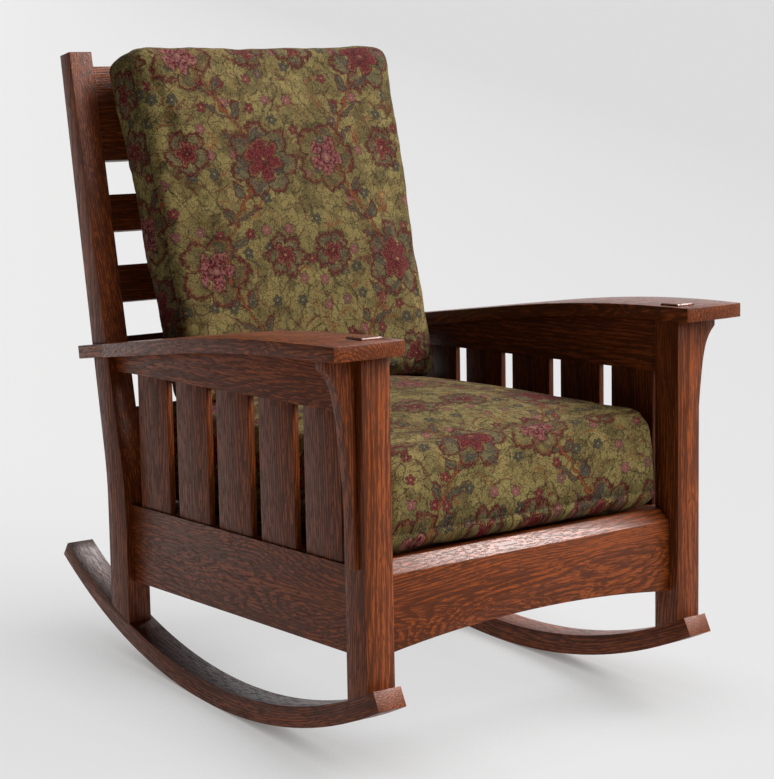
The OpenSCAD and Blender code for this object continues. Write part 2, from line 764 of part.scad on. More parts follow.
module corbel(side) {
    top = arm_height - fit_gap;
    color(oak) placed() in_side(side)
    across(corbel_place, corbel_place + corbel_thickness)
    polygon(concat(
        [[fit_gap, corbel_bottom]],
        [for (k = [0 : corbel_steps])
            [corbel_foot + (corbel_reach - corbel_foot) * corbel_share(k / corbel_steps),
             corbel_bottom + corbel_run * k / corbel_steps]],
        [[corbel_reach, top], [fit_gap, top]]));
}

module side_slat_body(i, g) {
    box([-slat_outer - side_slat_thickness - g, g - slat_outer],
        [post_size + i * slat_pitch - side_slat_width - g, post_size + i * slat_pitch + g],
        [lower_rail_top - slat_stub - g, upper_rail_bottom + slat_stub + g]);
}

module lower_rail(side) {
    color(oak) placed() in_side(side)
    difference() {
        union() {
            box([-rail_inner, -rail_outer], [post_size + fit_gap, side_depth - fit_gap],
                [rail_bottom, lower_rail_top]);
            lower_tenon(0);
        }
        for (i = [1 : side_slat_count]) side_slat_body(i, fit_gap);
        cleat_screws_side(screw_gap);
    }
}

module upper_rail(side) {
    rear = post_face(upper_rail_bottom) + rear_post_top_depth / 2;
    color(oak) placed() in_side(side)
    difference() {
        union() {
            upright(-rail_inner, -rail_outer)
            intersection() {
                translate([post_size + fit_gap, upper_rail_bottom])
                square([rear - post_size - fit_gap, arm_height - upper_rail_bottom]);
                under_arm();
                polygon([[0, bend_height], [post_face(bend_height) - fit_gap / cos(back_rake), bend_height],
                         [post_face(arm_top) - fit_gap / cos(back_rake), arm_top], [0, arm_top]]);
            }
            upper_tenons(0);
        }
        for (i = [1 : side_slat_count]) side_slat_body(i, fit_gap);
    }
}

module side_slat(side, i) {
    color(oak) placed() in_side(side)
    side_slat_body(i, 0);
}

module front_rail() {
    color(oak) placed()
    union() {
        intersection() {
            across(front_rail_setback, post_size)
            difference() {
                translate([-front_width / 2, rail_bottom])
                square([front_width, front_rail_height]);
                translate([0, rail_bottom + front_rail_arch - arch_radius])
                circle(r = arch_radius, $fn = large_sides);
            }
            upright(-front_width / 2, front_width / 2)
            polygon([[front_rail_setback, rail_bottom],
                     [front_rail_setback, front_rail_top - front_rail_chamfer],
                     [front_rail_setback + front_rail_chamfer, front_rail_top],
                     [post_size, front_rail_top], [post_size, rail_bottom]]);
            between(post_size, 0, post_size + overrun, 0, arm_height);
        }
        front_rail_tenons(0);
    }
}

rear_rail_span = [rear_rail_place, rear_rail_place + rear_rail_thickness];
rear_rail_rise = [rear_rail_top - rear_rail_height, rear_rail_top];
module rear_rail_tenons(g) {
    middle = (rear_rail_span[0] + rear_rail_span[1]) / 2;
    end_tenons([middle - rear_tenon_thickness / 2, middle + rear_tenon_thickness / 2],
               [rear_rail_rise[0] + rear_tenon_shoulder, rear_rail_rise[1] - rear_tenon_shoulder],
               rear_post_width, rear_tenon_length, g);
}

module rear_seat_rail() {
    color(oak) placed()
    union() {
        intersection() {
            box([-front_width / 2, front_width / 2], rear_rail_span, rear_rail_rise);
            between(rear_post_width, side_depth - overrun, rear_post_back, 0, arm_height);
        }
        rear_rail_tenons(0);
    }
}

// Along the rake: Y behind the rear posts' front face, Z up from the bend
module raked() {
    translate([0, side_depth, bend_height])
    rotate([-back_rake, 0, 0])
    children();
}

// A rail of the back from a place up the rake, with tenons
module back_rail_tenons(place, height, g) {
    middle = back_slat_inset + back_slat_thickness / 2;
    at = side_depth + (place + height / 2) * sin(back_rake) + middle * cos(back_rake);
    reach = inner_half(at, rear_post_width) + back_tenon_length + g;
    root = 2 * back_tenon_length;
    y = [middle - back_tenon_thickness / 2 - g, middle + back_tenon_thickness / 2 + g];
    z = [place + back_tenon_shoulder - g, place + height - back_tenon_shoulder + g];
    raked() {
        box([reach - root, reach], y, z);
        box([-reach, root - reach], y, z);
    }
}

module back_rail(place, height) {
    color(oak) placed()
    union() {
        intersection() {
            raked()
            box([-front_width / 2, front_width / 2],
                [back_slat_inset, back_slat_inset + back_slat_thickness], [place, place + height]);
            between(rear_post_width, side_depth - overrun, back_top[0] + overrun, 0, 2 * arm_height);
        }
        back_rail_tenons(place, height, 0);
    }
}

module top_rail_tenons(g) {
    back_rail_tenons(top_rail_place, top_rail_height, g);
}

module back_slat_tenons(i, g) {
    back_rail_tenons(top_rail_place - i * back_pitch, back_slat_height, g);
}

module back_slat(i) {
    back_rail(top_rail_place - i * back_pitch, back_slat_height);
}

module cleat(side) {
    color(oak) placed() in_side(side)
    difference() {
        box([-cleat_inner, -rail_inner],
            [post_size + corner_block_leg + rest_gap, side_depth - fit_gap], [cleat_low, cleat_top]);
        cleat_screws_side(screw_gap);
        slat_screws_side(screw_gap);
    }
}

module front_cleat() {
    half = inner_half(post_size, rail_inner) - corner_block_leg - rest_gap;
    color(oak) placed()
    box([-half, half], [post_size + fit_gap, post_size + front_cleat_depth],
        [cleat_top - front_cleat_height, cleat_top]);
}

module corner_block(side) {
    color(oak) placed()
    difference() {
        intersection() {
            in_side(side)
            translate([-rail_inner, post_size, cleat_top - corner_block_height])
            linear_extrude(corner_block_height)
            polygon([[0, 0], [0, corner_block_leg], [-corner_block_leg, 0]]);
            box([-front_width / 2, front_width / 2], [post_size + fit_gap, side_depth], [0, arm_height]);
        }
        in_side(side) slat_screws_side(screw_gap);
    }
}

module seat_slat(i) {
    start = seat_slat_first + (i - 1) * seat_slat_pitch;
    color(oak) placed()
    difference() {
        intersection() {
            box([-front_width / 2, front_width / 2], [start, start + seat_slat_width],
                [cleat_top, deck_top]);
            between(rail_inner, 0, side_depth, 0, arm_height);
        }
        in_side(1) slat_screws_side(screw_gap);
        in_side(-1) slat_screws_side(screw_gap);
    }
}

module left_front_post() { front_post(-1); }
module right_front_post() { front_post(1); }
module left_rear_post() { rear_post(-1); }
module right_rear_post() { rear_post(1); }
module left_runner() { runner(-1); }
module right_runner() { runner(1); }
module left_arm() { arm(-1); }
module right_arm() { arm(1); }
module left_corbel() { corbel(-1); }
module right_corbel() { corbel(1); }
module left_lower_rail() { lower_rail(-1); }
module right_lower_rail() { lower_rail(1); }
module left_upper_rail() { upper_rail(-1); }
module right_upper_rail() { upper_rail(1); }
module left_slat_1() { side_slat(-1, 1); }
module left_slat_2() { side_slat(-1, 2); }
module left_slat_3() { side_slat(-1, 3); }
module left_slat_4() { side_slat(-1, 4); }
module left_slat_5() { side_slat(-1, 5); }
module right_slat_1() { side_slat(1, 1); }
module right_slat_2() { side_slat(1, 2); }
module right_slat_3() { side_slat(1, 3); }
module right_slat_4() { side_slat(1, 4); }
module right_slat_5() { side_slat(1, 5); }
module back_top_rail() { back_rail(top_rail_place, top_rail_height); }
module back_slat_1() { back_slat(1); }
module back_slat_2() { back_slat(2); }
module back_slat_3() { back_slat(3); }
module back_slat_4() { back_slat(4); }
module left_cleat() { cleat(-1); }
module right_cleat() { cleat(1); }
module left_corner_block() { corner_block(-1); }
module right_corner_block() { corner_block(1); }
module seat_slat_1() { seat_slat(1); }
module seat_slat_2() { seat_slat(2); }
module seat_slat_3() { seat_slat(3); }
module seat_slat_4() { seat_slat(4); }
module seat_slat_5() { seat_slat(5); }
module seat_slat_6() { seat_slat(6); }
module seat_slat_7() { seat_slat(7); }

module runner_screws() {
    color(steel) placed()
    for (side = [-1, 1]) {
        in_side(side) runner_screw(front_screw);
        in_side(side) runner_screw(rear_screw);
    }
}

module cleat_screws() {
    color(steel) placed()
    for (side = [-1, 1]) in_side(side) cleat_screws_side(0);
}

module seat_slat_screws() {
    color(steel) placed()
    for (side = [-1, 1]) in_side(side) slat_screws_side(0);
}

module seat_cushion() {
    color(cloth) placed()
    difference() {
        polyhedron(points = seat_points(0), faces = ring_faces(seat_rings), convexity = 4);
        polyhedron(points = seat_points(cushion_wall), faces = ring_faces(seat_rings), convexity = 4);
    }
}

module back_cushion() {
    color(cloth) placed()
    difference() {
        polyhedron(points = back_points(0), faces = ring_faces(back_rings), convexity = 4);
        polyhedron(points = back_points(cushion_wall), faces = ring_faces(back_rings), convexity = 4);
    }
}

left_front_post();
right_front_post();
left_rear_post();
right_rear_post();
left_runner();
right_runner();
left_arm();
right_arm();
left_corbel();
right_corbel();
left_lower_rail();
right_lower_rail();
left_upper_rail();
right_upper_rail();
left_slat_1();
left_slat_2();
left_slat_3();
left_slat_4();
left_slat_5();
right_slat_1();
right_slat_2();
right_slat_3();
right_slat_4();
right_slat_5();
front_rail();
rear_seat_rail();
back_top_rail();
back_slat_1();
back_slat_2();
back_slat_3();
back_slat_4();
left_cleat();
right_cleat();
front_cleat();
left_corner_block();
right_corner_block();
seat_slat_1();
seat_slat_2();
seat_slat_3();
seat_slat_4();
seat_slat_5();
seat_slat_6();
seat_slat_7();
runner_screws();
cleat_screws();
seat_slat_screws();
seat_cushion();
back_cushion();
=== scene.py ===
import math

import bpy
from mathutils import Matrix, Vector, noise
from mathutils.bvhtree import BVHTree


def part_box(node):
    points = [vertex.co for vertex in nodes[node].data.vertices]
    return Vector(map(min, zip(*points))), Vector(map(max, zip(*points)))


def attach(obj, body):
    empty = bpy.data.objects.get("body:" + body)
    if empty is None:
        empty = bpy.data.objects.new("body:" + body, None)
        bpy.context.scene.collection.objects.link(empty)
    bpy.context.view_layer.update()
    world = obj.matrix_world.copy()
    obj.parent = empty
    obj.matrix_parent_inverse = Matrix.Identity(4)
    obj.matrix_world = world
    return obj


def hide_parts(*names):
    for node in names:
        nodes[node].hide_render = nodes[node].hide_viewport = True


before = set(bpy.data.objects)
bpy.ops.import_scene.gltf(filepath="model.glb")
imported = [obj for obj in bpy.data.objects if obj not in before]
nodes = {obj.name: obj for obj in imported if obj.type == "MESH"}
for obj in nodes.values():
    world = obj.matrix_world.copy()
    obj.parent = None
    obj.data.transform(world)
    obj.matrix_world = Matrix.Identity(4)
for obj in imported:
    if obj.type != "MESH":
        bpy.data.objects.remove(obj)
scene = bpy.context.scene
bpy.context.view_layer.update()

# The chair stands leaned back on its runners. Sizes below are in metres and, where they say
# so, in the chair's own upright frame: y runs back from the front posts, z up from the lowest
# point of the runners.
LEAN = math.radians(4.9)
RUNNER_RADIUS = 0.820
RUNNER_CENTRE = 0.333
LEAN_SHIFT = -0.40798
LEAN_RISE = RUNNER_RADIUS * (1 - math.cos(LEAN)) + RUNNER_CENTRE * math.sin(LEAN)
TILT = Matrix.Rotation(-LEAN, 3, "X")


def stood(x, y, z):
    """A point of the upright chair, where it is once the chair leans on its runners."""
    return TILT @ Vector((x, y, z)) + Vector((0, LEAN_SHIFT, LEAN_RISE))


def tint(red, green, blue):
    """A colour given as it looks on a screen, 0 to 255, as the linear one a shader needs."""
    def linear(c):
        c /= 255
        return c / 12.92 if c <= 0.04045 else ((c + 0.055) / 1.055) ** 2.4
    return (linear(red), linear(green), linear(blue), 1)


# ---- shader maths ----

class Field:
    """A value that changes over a surface. Sums on fields add the Math nodes that do them."""

    def __init__(self, paint, socket):
        self.paint, self.socket = paint, socket

    def maths(self, operation, *others):
        return self.paint.node("ShaderNodeMath", {"operation": operation}, [self, *others])

    def __add__(self, other):
        return self.maths("ADD", other)

    def __sub__(self, other):
        return self.maths("SUBTRACT", other)

    def __mul__(self, other):
        return self.maths("MULTIPLY", other)

    def __truediv__(self, other):
        return self.maths("DIVIDE", other)

    __radd__, __rmul__ = __add__, __mul__

    def __rsub__(self, other):
        return self.paint.node("ShaderNodeMath", {"operation": "SUBTRACT"}, [other, self])

    def __neg__(self):
        return self * -1

    def __abs__(self):
        return self.maths("ABSOLUTE")

    def rises(self, soft):
        """0 well below zero, 1 well above it, changing over a band this wide."""
        return self.paint.node("ShaderNodeMath", {"operation": "MULTIPLY_ADD", "use_clamp": True},
                               [self, 1 / soft, 0.5])


class Paint:
    """A new material, or a world, and the one way of adding a node to it."""

    def __init__(self, name, kind="materials"):
        self.material = getattr(bpy.data, kind).new(name)
        self.material.use_nodes = True
        self.tree = self.material.node_tree
        self.tree.nodes.clear()

    def node(self, kind, settings=None, values=(), output=0, **named):
        """Adds a node. Its inputs are given in their order or by name, as fields or numbers."""
        made = self.tree.nodes.new(kind)
        for key, value in (settings or {}).items():
            if key == "stops":
                ramp = made.color_ramp
                while len(ramp.elements) < len(value):
                    ramp.elements.new(0.5)
                for stop, (place, colour) in zip(ramp.elements, value):
                    stop.position, stop.color = place, colour
            else:
                setattr(made, key, value)
        named = {key.replace("_", " "): value for key, value in named.items()}
        for key, value in [*enumerate(values), *named.items()]:
            if value is None:
                continue
            if isinstance(value, Field):
                self.tree.links.new(value.socket, made.inputs[key])
            else:
                made.inputs[key].default_value = value
        return Field(self, made.outputs[output]) if len(made.outputs) else made

    def split(self, vector):
        parts = self.node("ShaderNodeSeparateXYZ", None, [vector]).socket.node.outputs
        return [Field(self, socket) for socket in parts]

    def join(self, x, y, z):
        return self.node("ShaderNodeCombineXYZ", None, [x, y, z])

    def noise(self, vector, scale=1.0, detail=2.0, rough=0.5, kind="3D"):
        return self.node("ShaderNodeTexNoise", {"noise_dimensions": kind}, Vector=vector,
                         Scale=scale, Detail=detail, Roughness=rough)

    def mix(self, amount, first, second, blend="MIX"):
        """The first colour where amount is 0, the second where it is 1."""
        made = self.tree.nodes.new("ShaderNodeMix")
        made.data_type, made.blend_type = "RGBA", blend
        for key, value in (("Factor_Float", amount), ("A_Color", first), ("B_Color", second)):
            socket = next(s for s in made.inputs if s.identifier == key)
            if isinstance(value, Field):
                self.tree.links.new(value.socket, socket)
            else:
                socket.default_value = value
        return Field(self, next(s for s in made.outputs if s.identifier == "Result_Color"))

    def bump(self, height, strength, distance):
        return self.node("ShaderNodeBump", None, Strength=strength, Distance=distance,
                         Height=height)

    def finish(self, colour, roughness, normal=None, **constants):
        """Closes the material. constants are the values that are the same all over it."""
        shader = self.node("ShaderNodeBsdfPrincipled", None, Base_Color=colour,
                           Roughness=roughness, Normal=normal, **constants)
        self.node("ShaderNodeOutputMaterial", None, Surface=shader)
        return self.material


# ---- finishes ----

OAK_DEEP = tint(18, 7, 4)
OAK_BROWN = tint(46, 19, 9)
OAK_WARM = tint(136, 66, 24)
GLOSS = {"Specular_IOR_Level": 0.15, "Coat_Weight": 0.04, "Coat_Roughness": 0.2}


def oak(name, along, across, start, pith, ring=0.0034, wander=0.004, curved=False, tone=1.0):
    """Fumed oak under a satin finish. along and across are the directions of a piece's grain
    and of its width, start is a point of the piece, and pith is where, across and through the
    piece, the heart of the tree lies: far off for straight grain, near for arched figure."""
    p = Paint(name)
    along, across = Vector(along).normalized(), Vector(across).normalized()
    turn = Matrix((along, across, along.cross(across)))
    point = p.node("ShaderNodeTexCoord", output=3)
    local = p.node("ShaderNodeMapping", None, Vector=point, Rotation=turn.to_euler(),
                   Location=-(turn @ Vector(start)))
    a, b, c = p.split(local)
    if curved:
        # The grain of a runner goes round its centre, which is its start
        reach = p.node("ShaderNodeVectorMath", {"operation": "LENGTH"}, [p.join(a, b, 0)],
                       output=1)
        a, b = (a.maths("ARCTAN2", -b)) * RUNNER_RADIUS, RUNNER_RADIUS - reach

    # Yearly rings round the pith, bent by slow wandering and short waves of the grain
    slow = p.noise(p.join(a * 2.4, b * 9, c * 9), 1.0, 1.0)
    wave = p.noise(p.join(a * 12, b * 45, c * 45), 1.0, 1.0)
    shift = (slow - 0.5) * wander * 8 + (wave - 0.5) * wander * 0.5
    bb, cc = b - pith[0] + shift, c - pith[1] + a * pith[2] + shift
    radius = (bb * bb + cc * cc).maths("SQRT") / ring
    late = (radius.maths("FRACT") - 0.3).rises(0.6)

    # Fine streaks, broad bands and open pores, all long in the grain and narrow across it
    streak = p.noise(p.join(a * 14, (b + shift) * 380, (c + shift) * 380), 1.0, 3.0, 0.6)
    broad = p.noise(p.join(a * 3, b * 34, c * 34), 1.0, 2.0)
    pore = p.noise(p.join(a * 55, (b + shift) * 560, (c + shift) * 560), 1.0, 1.0)
    pores = (0.43 - pore + (1 - late) * 0.08).rises(0.06)

    shade = late * 0.62 + (streak - 0.5) * 3.4 + (broad - 0.5) * 1.1 + 0.12
    wood = p.node("ShaderNodeValToRGB", {"stops": [(0.0, OAK_DEEP), (0.42, OAK_BROWN),
                                                   (1.0, OAK_WARM)]}, [shade])
    wood = p.mix(pores * 0.8, wood, OAK_DEEP)
    # Lighter along the sanded arrises: partly wear, partly a painted highlight.
    wear_and_highlight = p.node("ShaderNodeAttribute", {"attribute_name": "arris"}, output=2)
    wood = p.mix(wear_and_highlight * 0.30, wood, OAK_WARM)
    if tone != 1.0:
        wood = p.mix(1.0, wood, (tone, tone, tone, 1), "MULTIPLY")

    roughness = 0.33 + pores * 0.20 + (broad - 0.5) * 0.16
    relief = late * 0.2 - pores * 0.8 + streak * 0.4
    return p.finish(wood, roughness, p.bump(relief, 0.30, 0.0006), **GLOSS)


def steel():
    """Screws: turned steel, dulled with age."""
    p = Paint("screw_steel_dull")
    point = p.node("ShaderNodeTexCoord", output=3)
    brushed = p.noise(point, 900.0, 2.0)
    stain = p.noise(point, 120.0, 3.0)
    colour = p.mix(stain, tint(120, 112, 102), tint(70, 60, 52))
    return p.finish(colour, 0.32 + brushed * 0.25, p.bump(brushed, 0.2, 0.0002), Metallic=1.0)


OLIVE = tint(127, 113, 68)
OLIVE_DARK = tint(88, 77, 45)
OLIVE_PALE = tint(146, 131, 81)
WINE = tint(84, 14, 24)
BERRY = tint(104, 30, 40)
RUST = tint(128, 62, 34)
ROSE = tint(134, 78, 80)
SLATE = tint(64, 64, 57)
STRAW = tint(144, 122, 76)
INK = tint(26, 20, 15)
REPEAT_WIDTH, REPEAT_HEIGHT = 0.230, 0.330
WEFT_PITCH, WARP_PITCH = 0.0013, 0.0011
EDGE = 0.0013    # over which one colour of thread gives way to the next


class Tapestry(Paint):
    """The cushion fabric: a mottled woven ground under leaves, stems and flowers. It is drawn on
    the unrolled cover, in metres: u runs across it and v up it."""

    def __init__(self, name, start):
        super().__init__(name)
        flat = self.node("ShaderNodeAttribute", {"attribute_name": "cloth"}, output=1)
        u, v, _ = self.split(flat)
        self.u, self.v = u + start[0], v + start[1]
        self.thread = self.scatter(900, 900, 0, 1.0)
        self.colour = self.ground()

    def scatter(self, across, up, where=0.0, detail=2.0):
        """Noise over the cloth, with this many lumps to the metre each way."""
        return self.noise(self.join(self.u * across + where, self.v * up - where, where), 1.0,
                          detail, 0.6, kind="2D")

    def lay(self, inside, colour, strength=0.85, soft=EDGE):
        """Weaves a colour in where inside is over zero."""
        self.colour = self.mix(inside.rises(soft) * strength, self.colour, colour)

    def ground(self):
        """Olive, with darker clouds."""
        return self.mix((self.scatter(30, 30, 0, 3.0) - 0.44).rises(0.3), OLIVE_DARK, OLIVE)

    def cells(self, cell, where, loose):
        """Scattered middles, about one to a cell: the way from the nearest, and its own numbers."""
        place = self.join(self.u / cell + where, self.v / cell - where, 0)
        dots = {"voronoi_dimensions": "2D"}
        near = self.node("ShaderNodeTexVoronoi", dots, Vector=place, Scale=1.0, Randomness=loose,
                         output=2)
        chance, pick, _ = self.split(self.node("ShaderNodeTexVoronoi", dots, Vector=place,
                                               Scale=1.0, Randomness=loose, output=1))
        x, y, _ = self.split(self.node("ShaderNodeVectorMath", {"operation": "SUBTRACT"},
                                       [place, near]))
        return x * cell, y * cell, chance, pick

    def foliage(self, cell, where, size):
        """Curled leaves that overlap all over the ground, veined and edged in dark thread."""
        x, y, chance, pick = self.cells(cell, where, 0.9)
        r = (x * x + y * y).maths("SQRT")
        way = y.maths("ARCTAN2", x) + chance * 6.3 + r * 30
        lobe = abs((way * 1.5).maths("COSINE"))
        frill = abs((way * 6).maths("COSINE"))
        leaf = (lobe * 0.55 + frill * 0.16 + 0.35) * size - r
        tone = self.mix((pick - 0.35).rises(0.1), OLIVE_DARK, OLIVE_PALE)
        self.lay(leaf, tone, 0.45, 0.005)
        vein = (0.13 - lobe).rises(0.1) * leaf.rises(EDGE)
        self.colour = self.mix(vein * 0.55, self.colour, INK)
        edge = self.mix((chance - 0.62).rises(0.1), INK, WINE)
        self.lay(0.0010 - abs(leaf), edge, 0.5)

    def strokes(self, across, up, where, colour, strength, wide):
        """Fine broken lines, drawn where noise crosses its middle."""
        line = wide - abs(self.scatter(across, up, where, 1.0) - 0.5)
        broken = (self.scatter(60, 60, where + 3) - 0.48).rises(0.1)
        self.colour = self.mix(line.rises(0.02) * broken * strength, self.colour, colour)

    def repeat(self, drift):
        """Place within one repeat of the pattern, each column dropped by half. Hand-drawn lines
        stray by up to half of drift."""
        stray, stray_up = self.scatter(48, 48, 9), self.scatter(48, 48, 17)
        across = (self.u + (stray - 0.5) * drift) / REPEAT_WIDTH
        column = across.maths("FLOOR")
        up = (self.v + (stray_up - 0.5) * drift) / REPEAT_HEIGHT + column * 0.5
        return (across - column - 0.5) * REPEAT_WIDTH, (up.maths("FRACT") - 0.5) * REPEAT_HEIGHT

    def vine(self, s, t, swing, wide, leaves):
        """A stem that swings up the repeat, with pairs of pointed leaves, each with a rib."""
        aside = s - (t * (2 * math.pi / REPEAT_HEIGHT)).maths("SINE") * swing
        off = abs(aside)
        rung = REPEAT_HEIGHT / leaves
        step = ((t - off * 0.8) / rung).maths("FRACT") - 0.5
        reach = (off - 0.017) / 0.015
        leaf = (1 - reach * reach) * 0.0075 - abs(step) * rung
        self.lay(leaf, SLATE, 0.75)
        self.lay(0.0010 - abs(step) * rung, INK, 0.6)
        self.lay(0.0014 - abs(leaf), WINE, 0.9)
        self.lay(wide + 0.0014 - off, INK, 0.8)
        self.lay(wide - off, RUST, 1.0)

    def scroll(self, s, t, middle, ring, lobes, turn, fill, flower, heart, petals):
        """A leafy scroll of radius ring, its frilled edge drawn in wine, round a flower."""
        x, y = s - middle[0], t - middle[1]
        r = (x * x + y * y).maths("SQRT")
        way = y.maths("ARCTAN2", x)
        fan = abs((way * lobes / 2 + turn).maths("COSINE"))
        frill = abs((way * lobes * 2.5 + 0.4).maths("COSINE"))
        leaf = ring * (fan.maths("POWER", 0.6) * 0.62 + 1.05) + frill * 0.0035 - r
        self.lay(leaf.maths("MINIMUM", r - ring), fill, 0.5)
        self.lay(0.0044 - abs(leaf), INK, 0.5)
        self.lay(0.0022 - abs(leaf), WINE, 0.85)
        self.lay(0.0008 - abs(leaf - 0.0042), RUST, 0.6)
        vein = (0.12 - fan).rises(0.08) * leaf.rises(EDGE) * (r - ring).rises(EDGE)
        self.colour = self.mix(vein * 0.8, self.colour, INK)

        # The flower, over the scroll's own middle
        fan = abs((way * (petals / 2) + turn * 2).maths("COSINE"))
        bloom = (fan.maths("POWER", 0.7) * 0.52 + 0.50) * (ring * 1.02) - r
        lumps = (self.scatter(190, 190, 21) - 0.5).rises(0.16)
        self.lay(bloom + 0.0018, INK, 0.8)
        self.lay(bloom, self.mix(lumps, flower, heart), 1.0)
        self.lay(0.0008 - abs(bloom - 0.0035), STRAW, 0.4)
        self.colour = self.mix((0.16 - fan).rises(0.1) * bloom.rises(EDGE) * 0.75, self.colour, INK)
        self.lay(ring * 0.30 - r, INK, 0.6)
        self.lay(ring * 0.22 - r, heart)
        self.lay(ring * 0.09 - r, STRAW)

    def sprigs(self, cell, where, share, size):
        """Small five-petalled flowers strewn over the cloth, of several colours."""
        x, y, chance, pick = self.cells(cell, where, 0.7)
        r = (x * x + y * y).maths("SQRT")
        fan = abs((y.maths("ARCTAN2", x) * 2.5 + chance * 9).maths("COSINE"))
        here = (share - chance).rises(0.01)
        bloom = (0.6 + fan * 0.4) * size - r
        tone = self.mix((pick - 0.6).rises(0.05), self.mix((pick - 0.3).rises(0.05), BERRY, ROSE),
                        SLATE)
        self.colour = self.mix((bloom + 0.0012).rises(EDGE) * here * 0.7, self.colour, INK)
        self.colour = self.mix(bloom.rises(EDGE) * here * 0.9, self.colour, tone)
        self.colour = self.mix((0.0016 - r).rises(EDGE) * here * 0.8, self.colour, STRAW)


def tapestry(name, start):
    """The whole pattern, from the leaves of the ground up to the flowers, and the weave."""
    p = Tapestry(name, start)
    p.foliage(0.046, 3.0, 0.026)
    p.foliage(0.038, 11.0, 0.018)
    p.strokes(120, 60, 2, INK, 0.55, 0.024)
    p.strokes(12, 9, 40, RUST, 0.8, 0.007)
    p.strokes(10, 12, 51, WINE, 0.9, 0.008)
    p.strokes(13, 14, 62, INK, 0.8, 0.008)
    p.sprigs(0.040, 7.0, 0.75, 0.0085)
    s, t = p.repeat(0.020)
    p.vine(s, t, 0.036, 0.0019, 8)
    p.scroll(s, t, (0.056, 0.080), 0.034, 7, 0.5, SLATE, WINE, BERRY, 6)
    p.scroll(s, t, (-0.056, -0.084), 0.031, 5, 0.2, OLIVE_DARK, WINE, ROSE, 5)
    p.scroll(s, t, (-0.072, 0.096), 0.019, 5, 0.9, SLATE, BERRY, WINE, 5)
    p.scroll(s, t, (0.068, -0.070), 0.019, 6, 0.4, SLATE, WINE, BERRY, 5)
    p.strokes(260, 200, 13, INK, 0.5, 0.022)

    # Single threads that show lighter or darker, and a painted shade line along each seam
    speck = p.scatter(420, 420, 3, 1.0)
    cloth = p.mix((speck - 0.60).rises(0.10) * 0.22, p.colour, STRAW)
    cloth = p.mix((0.42 - speck).rises(0.10) * 0.40, cloth, INK)
    cloth = p.mix((p.thread - 0.5).rises(0.4) * 0.22, cloth, INK)
    seam = p.node("ShaderNodeAttribute", {"attribute_name": "seam"}, output=2)
    cloth = p.mix(seam * 0.6, cloth, INK)

    weft = (p.u * (2 * math.pi / WEFT_PITCH)).maths("SINE")
    warp = (p.v * (2 * math.pi / WARP_PITCH)).maths("SINE")
    weave = weft * warp * 0.5 + p.thread * 0.9
    return p.finish(cloth, 0.86 + (speck - 0.5) * 0.1, p.bump(weave, 0.5, 0.0006),
                    Specular_IOR_Level=0.04)


def backdrop():
    """The studio floor: pale, glowing a little, with a painted shade far off to the right and a
    painted shadow where the chair stands close over it."""
    p = Paint("floor_pale")
    x, y, _ = p.split(p.node("ShaderNodeTexCoord", output=3))
    far = (x - y * 0.55 - 0.6).rises(7.0)
    # Painted shadow: the floor's glow is dimmed where nearby geometry closes it in, and a painted
    # shade darkens it far off to the right.
    open_sky = p.node("ShaderNodeAmbientOcclusion", {"samples": 8}, Distance=0.22, output=1)
    pale = p.mix(far, tint(239, 239, 239), tint(214, 214, 215))
    return p.finish(p.mix(far * 0.2, tint(96, 96, 96), tint(60, 60, 60)), 0.95,
                    Emission_Color=p.mix(open_sky, tint(120, 116, 112), pale),
                    Emission_Strength=0.86, Specular_IOR_Level=0.0)


# ---- workshop helpers ----

ARRIS = 0.0011
SHARP = math.radians(28)
MERGE = 0.00001


def only(piece):
    """Deselects all and then selects this piece as the one worked on."""
    bpy.ops.object.select_all(action="DESELECT")
    piece.select_set(True)
    bpy.context.view_layer.objects.active = piece


def clean_copy(node, name):
    """A copy of a CAD node's mesh with its triangles merged into one closed surface."""
    mesh = nodes[node].data.copy()
    mesh.materials.clear()
    piece = bpy.data.objects.new(name, mesh)
    scene.collection.objects.link(piece)
    only(piece)
    if mesh.has_custom_normals:
        bpy.ops.mesh.customdata_custom_splitnormals_clear()
    bpy.ops.object.mode_set(mode="EDIT")
    bpy.ops.mesh.select_all(action="SELECT")
    bpy.ops.mesh.remove_doubles(threshold=MERGE)
    bpy.ops.mesh.mark_sharp(clear=True)
    bpy.ops.object.mode_set(mode="OBJECT")
    return piece


def eased(node, finish):
    """A wooden piece with its sharp arrises sanded round, standing for its CAD node."""
    piece = clean_copy(node, "oak_" + node)
    bpy.ops.object.mode_set(mode="EDIT")
    bpy.ops.mesh.select_all(action="SELECT")
    bpy.ops.mesh.dissolve_limited(angle_limit=math.radians(0.4))
    bpy.ops.mesh.select_all(action="DESELECT")
    bpy.ops.mesh.edges_select_sharp(sharpness=SHARP)
    bpy.ops.mesh.bevel(offset=ARRIS, segments=2, profile=0.5, clamp_overlap=True)
    bpy.ops.object.mode_set(mode="OBJECT")
    # Marks the bevel faces, which the oak finish paints lighter: partly wear, partly a painted
    # highlight.
    mark = piece.data.attributes.new("arris", "FLOAT", "FACE")
    for face in piece.data.polygons:
        mark.data[face.index].value = 1.0 if face.select else 0.0
    only(piece)
    bpy.ops.object.shade_smooth_by_angle(angle=math.radians(24))
    piece.data.materials.append(finish)
    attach(piece, "frame")
    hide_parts(node)


# ---- the joinery ----

ACROSS = Vector((1, 0, 0))
SIDE = TILT @ Vector((0, 1, 0))
UP = TILT @ Vector((0, 0, 1))
RAKED = Matrix.Rotation(-math.radians(10.4), 3, "X") @ UP
SIDE_SLATS, BACK_SLATS, SEAT_SLATS = 5, 4, 7


def middle(node):
    low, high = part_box(node)
    return (Vector(low) + Vector(high)) / 2


def grained(node, along, across, pith, **rest):
    return oak("oak_" + node, along, across, middle(node), pith, **rest)


def shaped(node, *grain, **rest):
    """A piece in sight: sanded, and standing for its CAD node."""
    eased(node, grained(node, *grain, **rest))


def plain(node, *grain, **rest):
    """A piece out of sight, which keeps the shape of its CAD node."""
    nodes[node].data.materials[0] = grained(node, *grain, **rest)


